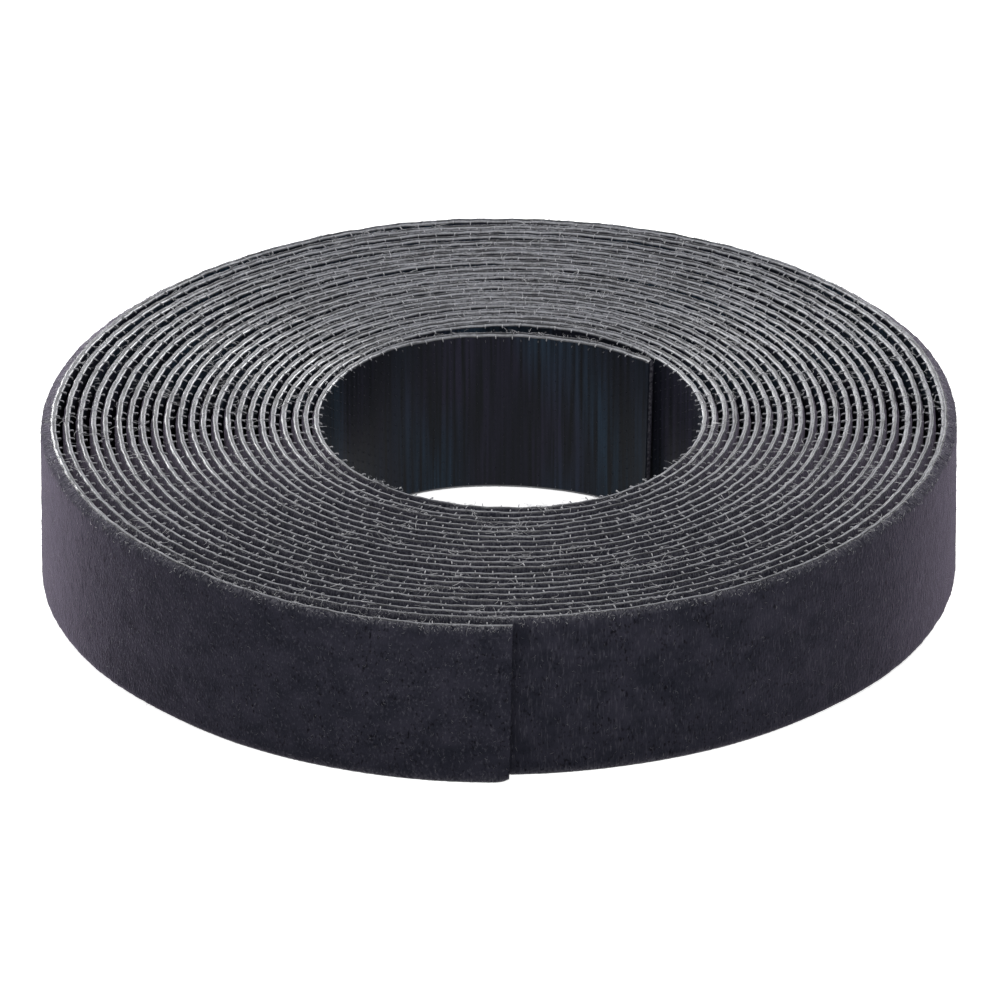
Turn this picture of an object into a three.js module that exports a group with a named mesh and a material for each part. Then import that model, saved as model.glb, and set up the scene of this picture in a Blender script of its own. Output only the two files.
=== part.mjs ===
// Roll of back-to-back hook and loop tape, wound flat on itself with no core.
//
// The tape is two webs fused face to face: a hook film whose hooks point at the bore, and a loop
// cloth whose pile faces out. The roll lies on one edge of the tape, in millimetres, with +Z up
// along its axis and the origin on that axis, in the plane that it lies on.
//
// Seen from above the tape winds out anticlockwise, from its inner end to its outer end. Both ends
// come away from the turn beside them, so each is a chain of short links on fold lines.

import * as THREE from 'three';

// The tape
const TAPE_WIDTH = 19;
const FILM_THICKNESS = 0.16;
const CLOTH_THICKNESS = 0.52;

// The winding, tight at the bore and looser outside. The hooks keep its turns apart.
const BORE_RADIUS = 20.75;
const BORE_OFFSET = 0.6;
const HOOK_SPACE_AT_BORE = 0.47;
const HOOK_SPACE_AT_RIM = 0.73;
const FULL_TURNS = 22;
const STEPS_PER_TURN = 24;

// A roll without a core is never quite round. The bore is narrower along X than along Y by twice the
// first of these, and the rim is longest along the diagonal of +X and +Y by the second.
const BORE_OVAL = 0.7;
const RIM_OVAL = 0.35;

// The two ends of the tape, in degrees round the roll from +X, and how far they stand off it
const INNER_END_ANGLE = 42;
const INNER_END_STANDOFF = 1.3;
const INNER_LINKS = 6;
const INNER_LINK_ANGLE = 15.5;
const OUTER_END_ANGLE = 271;
const OUTER_END_LIFT = 0.5;
const OUTER_LINKS = 6;
const OUTER_LINK_ANGLE = 10;
const LINK_STEPS = 2;
const FOLD_CLEARANCE = 0.3;

// The standoff of the inner end swells and falls again towards the tip, as this part of a sine wave
const INNER_SWELL = 0.82 * Math.PI;

// Worked out from the sizes above
const DEGREE = Math.PI / 180;
const TAPE_THICKNESS = FILM_THICKNESS + CLOTH_THICKNESS;
const PITCH_AT_BORE = TAPE_THICKNESS + HOOK_SPACE_AT_BORE;
const PITCH_AT_RIM = TAPE_THICKNESS + HOOK_SPACE_AT_RIM;
const LAST_ANGLE = OUTER_END_ANGLE + 360 * FULL_TURNS;
const TURNS = (LAST_ANGLE - INNER_END_ANGLE) / 360;
const INNER_FOLD_ANGLE = INNER_END_ANGLE + INNER_LINKS * INNER_LINK_ANGLE;
const OUTER_FOLD_ANGLE = LAST_ANGLE - OUTER_LINKS * OUTER_LINK_ANGLE;

// A spiral's outline isn't centred on its pole, so the pole lies where the outline's middle is the origin
const POLE_X = PITCH_AT_RIM / 4;
const POLE_Y = PITCH_AT_RIM / 4 + OUTER_END_LIFT / 2;

const FILM = { from: 0, to: FILM_THICKNESS };
const CLOTH = { from: FILM_THICKNESS, to: TAPE_THICKNESS };

const filmMaterial = new THREE.MeshStandardMaterial({ color: 0x1f2328, roughness: 0.4, metalness: 0 });
const clothMaterial = new THREE.MeshStandardMaterial({ color: 0x26262e, roughness: 0.95, metalness: 0 });

// How far the tape stands off its neighbour at an angle: inwards at its inner end, outwards at its outer end
function standoff(angle) {
  if (angle < INNER_FOLD_ANGLE) {
    const share = (INNER_FOLD_ANGLE - angle) / (INNER_FOLD_ANGLE - INNER_END_ANGLE);
    return -INNER_END_STANDOFF * Math.sin(INNER_SWELL * share) ** 2;
  }
  return OUTER_END_LIFT * THREE.MathUtils.smoothstep(angle, OUTER_FOLD_ANGLE, LAST_ANGLE);
}

// The share of the tape's turns that lie inside an angle: 0 at the bore and 1 at the rim
const shareOut = (angle) => (angle - INNER_END_ANGLE) / (LAST_ANGLE - INNER_END_ANGLE);

// What the roll's oval shape adds to the radius at an angle
function oval(angle) {
  const doubled = 2 * angle * DEGREE;
  const share = shareOut(angle);
  return RIM_OVAL * share * Math.sin(doubled) - BORE_OVAL * (1 - share) * Math.cos(doubled);
}

// Radius of the film's inner face: a spiral whose pitch grows evenly from the bore to the rim
function spiralRadius(angle) {
  const turn = shareOut(angle) * TURNS;
  const growth = (PITCH_AT_RIM - PITCH_AT_BORE) / (2 * TURNS);
  return BORE_RADIUS + PITCH_AT_BORE * turn + growth * turn ** 2 + oval(angle) + standoff(angle);
}

// A point of the tape seen from above. Depth runs out from the film's inner face, and the bore lies
// a little off the rim's centre along X, as it does on a roll that was wound by hand.
function tapePoint(angle, depth) {
  const radius = spiralRadius(angle) + depth;
  return new THREE.Vector2(
    POLE_X + BORE_OFFSET * (1 - shareOut(angle)) + radius * Math.cos(angle * DEGREE),
    POLE_Y + radius * Math.sin(angle * DEGREE),
  );
}

// Half of a fold's clearance, as an angle round the roll
const foldMargin = (angle) => FOLD_CLEARANCE / 2 / spiralRadius(angle) / DEGREE;

// The angles where the winding bends, at the same places on every turn so that its facets stay parallel
function windingAngles() {
  const first = INNER_FOLD_ANGLE + foldMargin(INNER_FOLD_ANGLE);
  const last = OUTER_FOLD_ANGLE - foldMargin(OUTER_FOLD_ANGLE);
  const step = 360 / STEPS_PER_TURN;
  const angles = [first];
  for (let k = Math.floor(first / step) + 1; k * step < last; k++) angles.push(k * step);
  angles.push(last);
  return angles;
}

function linkAngles(first, last) {
  const angles = [];
  for (let k = 0; k <= LINK_STEPS; k++) angles.push(THREE.MathUtils.lerp(first, last, k / LINK_STEPS));
  return angles;
}

// One web of the tape along those angles, standing on its edge, with its places taken from an origin
function webMesh(name, web, material, angles, origin = new THREE.Vector2()) {
  const inner = angles.map((angle) => tapePoint(angle, web.from).sub(origin));
  const outer = angles.map((angle) => tapePoint(angle, web.to).sub(origin));
  const outline = new THREE.Shape([...inner, ...outer.reverse()]);
  const geometry = new THREE.ExtrudeGeometry(outline, { depth: TAPE_WIDTH, bevelEnabled: false });
  const mesh = new THREE.Mesh(geometry, material);
  mesh.name = name;
  return mesh;
}

function winding() {
  const group = new THREE.Group();
  const angles = windingAngles();
  group.add(webMesh('hook_film_winding', FILM, filmMaterial, angles));
  group.add(webMesh('loop_cloth_winding', CLOTH, clothMaterial, angles));
  return group;
}

// A free end of the tape: links in a chain of nested groups, each turning about the fold at its root.
// The fold lies on the face that the end peels towards, so that a turned link opens away from the last.
function freeEnd(name, count, rootAngle, linkAngle, foldDepth) {
  const chain = new THREE.Group();
  let parent = chain;
  let parentFold = new THREE.Vector2();
  for (let k = 1; k <= count; k++) {
    const root = rootAngle + (k - 1) * linkAngle;
    const tip = root + linkAngle;
    const tipMargin = k < count ? foldMargin(tip) : 0;
    const away = Math.sign(linkAngle);
    const angles = linkAngles(root + away * foldMargin(root), tip - away * tipMargin);
    const fold = tapePoint(root, foldDepth);
    const link = new THREE.Group();
    link.name = `${name}_fold_${k}`;
    link.position.set(fold.x - parentFold.x, fold.y - parentFold.y, 0);
    link.add(webMesh(`${name}_film_${k}`, FILM, filmMaterial, angles, fold));
    link.add(webMesh(`${name}_cloth_${k}`, CLOTH, clothMaterial, angles, fold));
    parent.add(link);
    parent = link;
    parentFold = fold;
  }
  return chain;
}

// The least gap between a turn's cloth and the film of the turn outside it, on the corners and the
// middles of the facets
function leastGap() {
  const angles = windingAngles();
  const film = angles.map((angle) => tapePoint(angle, FILM.from));
  const cloth = angles.map((angle) => tapePoint(angle, CLOTH.to));
  const middles = cloth.slice(1).map((point, k) => point.clone().lerp(cloth[k], 0.5));
  const facet = new THREE.Line3();
  const nearest = new THREE.Vector3();
  const flat = (point) => new THREE.Vector3(point.x, point.y, 0);
  let least = Infinity;
  [...cloth, ...middles].forEach((point, k) => {
    const here = k % cloth.length;
    const last = Math.min(here + STEPS_PER_TURN + 2, film.length - 1);
    for (let n = here + STEPS_PER_TURN - 2; n < last; n++) {
      facet.set(flat(film[n]), flat(film[n + 1])).closestPointToPoint(flat(point), true, nearest);
      least = Math.min(least, nearest.distanceTo(flat(point)));
    }
  });
  return least;
}

// The tape's length along the middle of its thickness, from end to end
function tapeLength() {
  const count = Math.ceil(TURNS * 360);
  let length = 0;
  let last = tapePoint(INNER_END_ANGLE, TAPE_THICKNESS / 2);
  for (let k = 1; k <= count; k++) {
    const angle = THREE.MathUtils.lerp(INNER_END_ANGLE, LAST_ANGLE, k / count);
    const next = tapePoint(angle, TAPE_THICKNESS / 2);
    length += next.distanceTo(last);
    last = next;
  }
  return length;
}

console.log(`least gap between turns ${leastGap().toFixed(3)} mm, tape ${tapeLength().toFixed(0)} mm long`);

const roll = new THREE.Group();
roll.add(winding());
roll.add(freeEnd('inner_end', INNER_LINKS, INNER_FOLD_ANGLE, -INNER_LINK_ANGLE, FILM.from));
roll.add(freeEnd('outer_end', OUTER_LINKS, OUTER_FOLD_ANGLE, OUTER_LINK_ANGLE, CLOTH.to));

export default roll;
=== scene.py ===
# %% [markdown]
# This lesson builds a roll of back-to-back hook and loop tape. The real thing is one strip, wound flat on
# itself: a moulded plastic film with tiny hooks that face the bore, and a brushed loop cloth that faces
# out. The frame brings the plain solids at their true size. They stay for the physics, and each of them is
# replaced here by a fuller piece in the same place.

# %% Load the frame
import math

import bmesh
import bpy
import numpy as np
from mathutils import Matrix, Vector


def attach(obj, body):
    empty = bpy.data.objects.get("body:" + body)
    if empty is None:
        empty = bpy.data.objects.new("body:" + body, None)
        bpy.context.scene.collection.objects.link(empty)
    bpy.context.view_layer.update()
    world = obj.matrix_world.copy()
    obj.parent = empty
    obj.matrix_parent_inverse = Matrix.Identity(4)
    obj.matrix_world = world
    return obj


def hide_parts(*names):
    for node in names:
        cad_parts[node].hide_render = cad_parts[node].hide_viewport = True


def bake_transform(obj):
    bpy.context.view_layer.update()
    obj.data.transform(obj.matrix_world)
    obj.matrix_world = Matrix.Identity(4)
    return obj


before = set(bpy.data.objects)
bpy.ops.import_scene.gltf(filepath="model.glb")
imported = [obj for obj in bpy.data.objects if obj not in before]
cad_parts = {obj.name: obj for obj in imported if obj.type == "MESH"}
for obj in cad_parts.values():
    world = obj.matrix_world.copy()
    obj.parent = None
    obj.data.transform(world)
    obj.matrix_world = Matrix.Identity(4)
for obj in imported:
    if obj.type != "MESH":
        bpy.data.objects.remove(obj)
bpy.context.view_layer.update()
MM = 0.001

# %% [markdown]
# A wound tape could be modelled turn by turn, as rings, but the real one is a single strip. So every piece
# in this file is first made flat, as the tape comes off the loom, and then one function winds it on. Flat
# places have the length along the tape as X, the depth out from the film's inner face as Y, and the height
# of the tape's width as Z. The spiral has the sizes of the solids, but the free pile of the last turn stands
# out by up to a millimetre at the sides of the roll, so the tape inside it is wound that much tighter.
# Angles are in degrees round the roll, and go on past a full turn.

# %% The spiral
TAPE_WIDTH = 19 * MM
TAPE_THICKNESS = 0.68 * MM
BORE_RADIUS = 20.75 * MM
BORE_OFFSET = 0.6 * MM
BORE_OVAL = 0.7 * MM
RIM_OVAL = 0.35 * MM
PITCH_AT_BORE = 1.15 * MM
PITCH_AT_RIM = 1.41 * MM
FULL_TURN = 360
INNER_END_ANGLE = 42
INNER_FOLD_ANGLE = 135
INNER_STANDOFF = 1.3 * MM
INNER_SWELL = 0.82 * math.pi
OUTER_END_ANGLE = 8191
OUTER_FOLD_ANGLE = 8131
OUTER_LIFT = 0.5 * MM
SETTLE = 0.5 * MM
SETTLE_OVAL = 0.45 * MM
TURNS = (OUTER_END_ANGLE - INNER_END_ANGLE) / FULL_TURN
POLE = (PITCH_AT_RIM / 4, PITCH_AT_RIM / 4 + OUTER_LIFT / 2)


def smooth(value, low, high):
    share = np.clip((value - low) / (high - low), 0, 1)
    return share * share * (3 - 2 * share)


def settle(angle):
    """How much further in than the solids the tape lies at the rim: most on the left and the right."""
    return SETTLE + SETTLE_OVAL * np.cos(2 * np.radians(angle))


def spiral_point(angle, depth):
    """Where a point of the tape lies, seen from above, at an angle in degrees and a depth in metres."""
    turn = (angle - INNER_END_ANGLE) / FULL_TURN
    share = turn / TURNS
    around = np.radians(angle)
    growth = (PITCH_AT_RIM - PITCH_AT_BORE) / (2 * TURNS)
    oval = RIM_OVAL * share * np.sin(2 * around) - BORE_OVAL * (1 - share) * np.cos(2 * around)
    inner_share = np.clip((INNER_FOLD_ANGLE - angle) / (INNER_FOLD_ANGLE - INNER_END_ANGLE), 0, None)
    standoff = -INNER_STANDOFF * np.sin(INNER_SWELL * inner_share) ** 2
    standoff += OUTER_LIFT * smooth(angle, OUTER_FOLD_ANGLE, OUTER_END_ANGLE)
    wound = BORE_RADIUS + PITCH_AT_BORE * turn + growth * turn**2 - share * settle(angle)
    radius = wound + oval + standoff + depth
    x = POLE[0] + BORE_OFFSET * (1 - share) + radius * np.cos(around)
    y = POLE[1] + radius * np.sin(around)
    return x, y


# %% [markdown]
# Winding needs the angle that belongs to a length of tape. The spiral's length has no handy formula, so a
# fine table of angle and length is added up along it once, and looked up in both directions. The table
# runs a few degrees past both ends, because fibres stick out there.

# %% Length along the tape
TABLE_STEPS = 40000
TABLE_SPARE = 4
table_angles = np.linspace(INNER_END_ANGLE - TABLE_SPARE, OUTER_END_ANGLE + TABLE_SPARE, TABLE_STEPS)
table_x, table_y = spiral_point(table_angles, TAPE_THICKNESS / 2)
table_lengths = np.concatenate([[0], np.cumsum(np.hypot(np.diff(table_x), np.diff(table_y)))])
table_lengths -= np.interp(INNER_END_ANGLE, table_angles, table_lengths)


def length_at(angle):
    return float(np.interp(angle, table_angles, table_lengths))


TAPE_LENGTH = length_at(OUTER_END_ANGLE)
print(f"tape: {TAPE_LENGTH:.3f} m long in {TURNS:.1f} turns")

# %% [markdown]
# A roll that was wound by hand is never perfect. The tape strays a little from its spiral, and its top edge
# is crimped and rises and falls by hairs while the bottom edge rests on the table. Both webs of the tape
# share these waves, so they stay together. The two ends were cut with scissors, so neither cut is quite
# square.

# %% Wind the tape
STRAY_WAVES = ((23 * MM, 0.4, 0.03 * MM), (61 * MM, 2.1, 0.055 * MM))
CRIMP_WAVES = ((2.1 * MM, 0.9, 0.015 * MM), (3.7 * MM, 0.2, 0.015 * MM), (6.1 * MM, 2.4, 0.015 * MM))
RISE_WAVES = (
    (3.1 * MM, 0.7, 0.025 * MM), (7.7 * MM, 1.9, 0.03 * MM),
    (37 * MM, 1.3, 0.04 * MM), (88 * MM, 3.0, 0.05 * MM),
)
CRIMP_REACH = 1.6 * MM
INNER_CUT_LEAN = 0.66 * MM
OUTER_CUT_LEAN = 0.37 * MM
CUT_REACH = 2.5 * MM
CORNER = 1.6 * MM
CORNER_RISE = 0.5 * MM


def waves(length, kinds):
    """Adds up waves along the tape, each with its period, phase and height."""
    return sum(height * np.sin(2 * math.pi * length / period + phase) for period, phase, height in kinds)


def cut_ends(length, height):
    """Where places lie once the ends are cut: both cuts lean, and the outer one has a worn lower corner."""
    lean = height / TAPE_WIDTH - 0.5
    length = length - INNER_CUT_LEAN * lean * (1 - smooth(length, 0, CUT_REACH))
    length = length + OUTER_CUT_LEAN * lean * smooth(length, TAPE_LENGTH - CUT_REACH, TAPE_LENGTH)
    corner = np.clip(1 - (TAPE_LENGTH - length) / CORNER, 0, 1) ** 2 * (1 - smooth(height, 0, 2 * CORNER))
    return length, height + CORNER_RISE * corner


def wind(flat):
    """Winds flat places onto the roll: an array of length, depth and height becomes one of X, Y and Z."""
    length, depth, height = flat.T
    length, height = cut_ends(length, height)
    angle = np.interp(length, table_lengths, table_angles)
    crimp = smooth(height, TAPE_WIDTH - CRIMP_REACH, TAPE_WIDTH) * waves(length, CRIMP_WAVES)
    x, y = spiral_point(angle, depth + waves(length, STRAY_WAVES) + crimp)
    return np.column_stack([x, y, height + height / TAPE_WIDTH * waves(length, RISE_WAVES)])


# %% [markdown]
# Every piece is finished in the same way: its flat places are kept as an attribute named tape, so that a
# material can draw along the tape, other attributes say where its cut edges or tips are, and then the mesh
# is wound on. Two short helpers at the top put a mesh and an object into the scene.

# %% Finish a wound piece
FACE_CORNERS = 4


def mesh_from(bm, name):
    mesh = bpy.data.meshes.new(name)
    bm.to_mesh(mesh)
    bm.free()
    return mesh


def add_object(name, data):
    thing = bpy.data.objects.new(name, data)
    bpy.context.scene.collection.objects.link(thing)
    return thing


def flat_places(mesh):
    places = np.empty(len(mesh.vertices) * 3)
    mesh.vertices.foreach_get("co", places)
    return places.reshape(-1, 3)


def add_attribute(mesh, name, values):
    layer = mesh.attributes.new(name, "FLOAT", "POINT")
    layer.data.foreach_set("value", np.asarray(values, np.float32))


def faces_touching(mesh, marks):
    """Which faces have a vertex that is marked with more than 0, apart from the caps of a strip."""
    corners = np.empty(len(mesh.loops), int)
    mesh.loops.foreach_get("vertex_index", corners)
    starts = np.empty(len(mesh.polygons), int)
    mesh.polygons.foreach_get("loop_start", starts)
    sizes = np.empty(len(mesh.polygons), int)
    mesh.polygons.foreach_get("loop_total", sizes)
    return (np.maximum.reduceat(marks[corners], starts) > 0) & (sizes <= FACE_CORNERS)


def wound_piece(name, mesh, flat, materials, slot, **attributes):
    """Makes a flat mesh a piece of the roll. Its attributes have one value for each vertex.

    Where an attribute says that a face touches a cut edge, that face takes the second material.
    """
    mesh.name = name
    mesh.vertices.foreach_set("co", wind(flat).astype(np.float32).ravel())
    tape = mesh.attributes.new("tape", "FLOAT_VECTOR", "POINT")
    tape.data.foreach_set("vector", flat.astype(np.float32).ravel())
    for attribute, values in attributes.items():
        add_attribute(mesh, attribute, values)
    mesh.shade_smooth()
    mesh.materials.clear()
    for material in materials:
        mesh.materials.append(material)
    if "edge" in attributes:
        cut = faces_touching(mesh, attributes["edge"])
        mesh.polygons.foreach_set("material_index", cut.astype(np.int32))
    mesh.update()
    piece = add_object(name, mesh)
    return piece


# %% [markdown]
# A web is a long strip of one section. It could be swept along a curve, but a grid does it in one step: its
# columns are the stations along the tape, and its rows are rolled up into the section. The last row then
# lies on the first and is welded to it, and the two ends are filled.

# %% Roll a grid into a strip
WELD = 0.001 * MM


def strip_mesh(section, start, end, step):
    """A closed flat strip from start to end, whose section is a ring of (depth, height) points."""
    stations = max(2, math.ceil((end - start) / step))
    rows = len(section)
    bm = bmesh.new()
    bmesh.ops.create_grid(bm, x_segments=stations, y_segments=rows, size=0.5)
    for vert in bm.verts:
        row = round((vert.co.y + 0.5) * rows) % rows
        depth, height = section[row]
        vert.co = (start + (vert.co.x + 0.5) * (end - start), depth, height)
    bmesh.ops.remove_doubles(bm, verts=bm.verts, dist=WELD)
    caps = bmesh.ops.holes_fill(bm, edges=bm.edges, sides=0)["faces"]
    for cap in caps:
        for edge in cap.edges:
            edge.smooth = False
    bmesh.ops.recalc_face_normals(bm, faces=bm.faces)
    return mesh_from(bm, "strip")


# %% [markdown]
# The materials come next, because every piece takes one as it is made. A few short helpers keep their nodes
# readable: one adds a node, one makes a noise along the tape, and one turns a value into a range. A mix node
# has sockets for several kinds of value, so those for colours are named by their numbers.

# %% Node helpers
MIX_INPUTS = (0, 6, 7)
MIX_RESULT = 2


def new_material(name):
    material = bpy.data.materials.new(name)
    material.use_nodes = True
    return material, material.node_tree, material.node_tree.nodes["Principled BSDF"]


def add_node(tree, kind, inputs=None, **settings):
    node = tree.nodes.new(kind)
    for name, value in settings.items():
        setattr(node, name, value)
    for name, value in (inputs or {}).items():
        if isinstance(value, bpy.types.NodeSocket):
            tree.links.new(value, node.inputs[name])
        else:
            node.inputs[name].default_value = value
    return node


def attribute_of(tree, name, output="Fac"):
    return add_node(tree, "ShaderNodeAttribute", attribute_name=name).outputs[output]


def tape_places(tree, size):
    """Places on the tape, in grains of the given (along, through, up) sizes in metres."""
    mapping = add_node(tree, "ShaderNodeMapping", {"Vector": attribute_of(tree, "tape", "Vector")})
    mapping.inputs["Scale"].default_value = [1 / grain for grain in size]
    return mapping.outputs["Vector"]


def tape_noise(tree, size, detail=2, roughness=0.5):
    settings = {"Vector": tape_places(tree, size), "Scale": 1.0, "Detail": detail, "Roughness": roughness}
    return add_node(tree, "ShaderNodeTexNoise", settings).outputs["Fac"]


def tape_dots(tree, size):
    """How far a place is from the nearest of many scattered dots, in grains."""
    settings = {"Vector": tape_places(tree, size), "Scale": 1.0}
    return add_node(tree, "ShaderNodeTexVoronoi", settings).outputs["Distance"]


def ranged(tree, value, low, high, to_low=0.0, to_high=1.0):
    settings = {"Value": value, "From Min": low, "From Max": high, "To Min": to_low, "To Max": to_high}
    return add_node(tree, "ShaderNodeMapRange", settings).outputs["Result"]


def mixed(tree, factor, first, second):
    node = add_node(tree, "ShaderNodeMix", data_type="RGBA")
    for number, value in zip(MIX_INPUTS, (factor, first, second)):
        socket = node.inputs[number]
        if isinstance(value, bpy.types.NodeSocket):
            tree.links.new(value, socket)
        else:
            socket.default_value = value if isinstance(value, float) else (*value, 1.0)
    return node.outputs[MIX_RESULT]


def combined(tree, operation, first, second):
    return add_node(tree, "ShaderNodeMath", {0: first, 1: second}, operation=operation).outputs[0]


def multiplied(tree, first, second):
    return combined(tree, "MULTIPLY", first, second)


def added(tree, first, second):
    return combined(tree, "ADD", first, second)


def bumped(tree, shader, height, distance, strength=1.0):
    bump = add_node(tree, "ShaderNodeBump", {"Height": height, "Distance": distance, "Strength": strength})
    tree.links.new(bump.outputs["Normal"], shader.inputs["Normal"])


def sheened(shader, weight, roughness, tint):
    shader.inputs["Sheen Weight"].default_value = weight
    shader.inputs["Sheen Roughness"].default_value = roughness
    shader.inputs["Sheen Tint"].default_value = (*tint, 1.0)


# %% [markdown]
# The hook film is moulded plastic, dyed near black with a blue cast. Its faces are satin with fine upright
# streaks from the mould.

# %% Hook film finish
FILM_COLOUR = (0.005, 0.0062, 0.0088)
FILM_STREAK = (0.021, 0.038, 0.060)
FILM_TINT = (0.021, 0.020, 0.035)


def hook_film_material():
    material, tree, shader = new_material("satin_hook_film")
    streaks = tape_noise(tree, (0.5 * MM, 4 * MM, 18 * MM), detail=3)
    bands = tape_noise(tree, (7 * MM, 9 * MM, 40 * MM), detail=2)
    share = multiplied(tree, ranged(tree, streaks, 0.36, 0.68), ranged(tree, bands, 0.35, 0.65, 0.2, 1.4))
    shades = tape_noise(tree, (11 * MM, 9 * MM, 30 * MM), detail=1)
    streak = mixed(tree, ranged(tree, shades, 0.4, 0.6), FILM_STREAK, FILM_TINT)
    tree.links.new(mixed(tree, share, FILM_COLOUR, streak), shader.inputs["Base Color"])
    tree.links.new(ranged(tree, streaks, 0.3, 0.7, 0.36, 0.5), shader.inputs["Roughness"])
    shader.inputs["Specular IOR Level"].default_value = 0.11
    return material


film_finish = hook_film_material()
print("material:", film_finish.name)

# %% [markdown]
# Where the slitting knife cut the tape, plastic and yarn are frosted and much lighter. Part of that paleness
# is a painted highlight, standing for the light that the cut edges catch, and it draws the pale spiral on top
# of the roll. An attribute named edge says how near the cut is, and a speckle and larger patches decide how
# much of it is painted pale. The plastic is glossier than the yarn, and paler than all of it but its crest.

# %% Cut film finish
# Pale cut colour: part frost, part painted highlight for the light that the cut edges catch.
PALE_FROST_AND_PAINTED_LIGHT = (0.205, 0.211, 0.235)
FROST_DULL = (0.030, 0.031, 0.036)
FILM_FROST_AND_LIGHT_RANGE = (1.58, 2.0)


def frost_and_painted_light_share(tree, low, high, more=0.0):
    """How pale the cut is, frost and painted highlight, from 0 to 1, and the speckle in it."""
    speckle = tape_noise(tree, (0.26 * MM, 0.16 * MM, 0.20 * MM), detail=3, roughness=0.75)
    patches = tape_noise(tree, (1.7 * MM, 0.5 * MM, 3 * MM), detail=3, roughness=0.65)
    near = added(tree, added(tree, speckle, patches), attribute_of(tree, "edge"))
    return ranged(tree, added(tree, near, more), low, high), speckle


def cut_film_material():
    material, tree, shader = new_material("frosted_cut_film_painted_light")
    share, speckle = frost_and_painted_light_share(tree, *FILM_FROST_AND_LIGHT_RANGE)
    # Painted highlight: the pale colour of the cut film also stands for the light on its edge.
    tree.links.new(mixed(tree, share, FROST_DULL, PALE_FROST_AND_PAINTED_LIGHT), shader.inputs["Base Color"])
    tree.links.new(ranged(tree, speckle, 0.3, 0.7, 0.28, 0.42), shader.inputs["Roughness"])
    shader.inputs["Specular IOR Level"].default_value = 1.0
    bumped(tree, shader, speckle, 0.04 * MM, 0.5)
    return material


cut_film_finish = cut_film_material()
print("material:", cut_film_finish.name)

# %% [markdown]
# The cut yarn beside it is darker and has small holes between its threads, and its pale colour is likewise
# part frost, part painted highlight. The hot knife melted its ends a little, so it shines too, but more of it
# melted in some places than in others. Its crest, where the edge attribute is highest, is painted a little
# paler than the film, a painted highlight for the light that the crest catches.

# %% Cut yarn finish
# Pale yarn colour: part frost, part painted highlight. The crest colour is a painted highlight.
YARN_PALE_FROST_AND_PAINTED_LIGHT = (0.142, 0.145, 0.163)
CREST_PAINTED_HIGHLIGHT = (0.275, 0.278, 0.30)
YARN_DARK = (0.016, 0.016, 0.020)
YARN_SHEEN = (0.95, 0.93, 0.98)
YARN_FROST_AND_LIGHT_RANGE = (1.52, 1.96)
CREST_HIGHLIGHT_RANGE = (0.98, 1.1)


def cut_yarn_material():
    material, tree, shader = new_material("cut_yarn")
    melted = ranged(tree, tape_noise(tree, (7 * MM, 1 * MM, 9 * MM), detail=2), 0.35, 0.65, -0.4, 0.3)
    share, speckle = frost_and_painted_light_share(tree, *YARN_FROST_AND_LIGHT_RANGE, melted)
    holes = ranged(tree, tape_dots(tree, (0.42 * MM, 0.22 * MM, 0.6 * MM)), 0.28, 0.46)
    yarn = mixed(tree, multiplied(tree, share, holes), YARN_DARK, YARN_PALE_FROST_AND_PAINTED_LIGHT)
    # Painted highlight: the crest is painted paler than the film, for the light that it catches.
    crest = multiplied(tree, share, ranged(tree, attribute_of(tree, "edge"), *CREST_HIGHLIGHT_RANGE))
    tree.links.new(mixed(tree, crest, yarn, CREST_PAINTED_HIGHLIGHT), shader.inputs["Base Color"])
    tree.links.new(ranged(tree, speckle, 0.3, 0.7, 0.3, 0.44), shader.inputs["Roughness"])
    shader.inputs["Specular IOR Level"].default_value = 0.3
    sheened(shader, 0.15, 0.3, YARN_SHEEN)
    bumped(tree, shader, speckle, 0.03 * MM, 0.6)
    return material


cut_yarn_finish = cut_yarn_material()
print("material:", cut_yarn_finish.name)

# %% [markdown]
# The hooks are the same plastic. Those beside a cut edge are painted paler than the edge, most of all at
# their tips: a painted highlight for the light that the hooks by the edges catch. The others are painted
# lighter than the film, as painted light that lifts the shade of their own small shapes.

# %% Hook finish
# Painted light: the hooks' base colour is lifted above the film's to fill their own shade, and the pale one
# paints the light on hooks by the cut edges.
HOOK_PAINTED_FILL = (0.032, 0.034, 0.042)
HOOK_PAINTED_LIGHT = (0.34, 0.34, 0.36)


def hook_material():
    material, tree, shader = new_material("moulded_hooks")
    grain = tape_noise(tree, (1.1 * MM, 0.6 * MM, 0.9 * MM), detail=2)
    # Painted highlight: hooks by the cut edges are mixed towards the pale colour.
    share = multiplied(tree, attribute_of(tree, "scuff"), ranged(tree, grain, 0.3, 0.65, 0.6, 1.0))
    tree.links.new(mixed(tree, share, HOOK_PAINTED_FILL, HOOK_PAINTED_LIGHT), shader.inputs["Base Color"])
    tree.links.new(ranged(tree, grain, 0.3, 0.7, 0.3, 0.45), shader.inputs["Roughness"])
    shader.inputs["Specular IOR Level"].default_value = 0.2
    return material


hook_finish = hook_material()
print("material:", hook_finish.name)

# %% [markdown]
# The loop cloth is a knit whose face was brushed up into a short pile. It is a dark navy charcoal with a
# purple-grey bloom where it is seen at a slant, which the sheen of the shader gives. Up close it has small
# dark pits, light flecks and brush strokes that run up and down, short near the outer end and longer on the
# rest of the turn. By the rim of the tape its pile is ragged and painted paler, partly as a painted sheen
# where the top of the pile catches the light.

# %% Loop cloth finish
CLOTH_COLOUR = (0.0135, 0.0145, 0.0215)
CLOTH_BLOOM = (0.0265, 0.0260, 0.0375)
CLOTH_PIT = (0.003, 0.003, 0.005)
CLOTH_FLECK = (0.075, 0.073, 0.090)
# Pale rim colour: partly ragged pile, partly painted sheen where the top of the pile catches the light.
CLOTH_FRAY_AND_PAINTED_SHEEN = (0.15, 0.148, 0.17)
CLOTH_SHEEN = (0.72, 0.60, 0.80)
SHORT_STROKES_START = TAPE_LENGTH - 210 * MM
SHORT_STROKES_FULL = TAPE_LENGTH - 100 * MM


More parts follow.
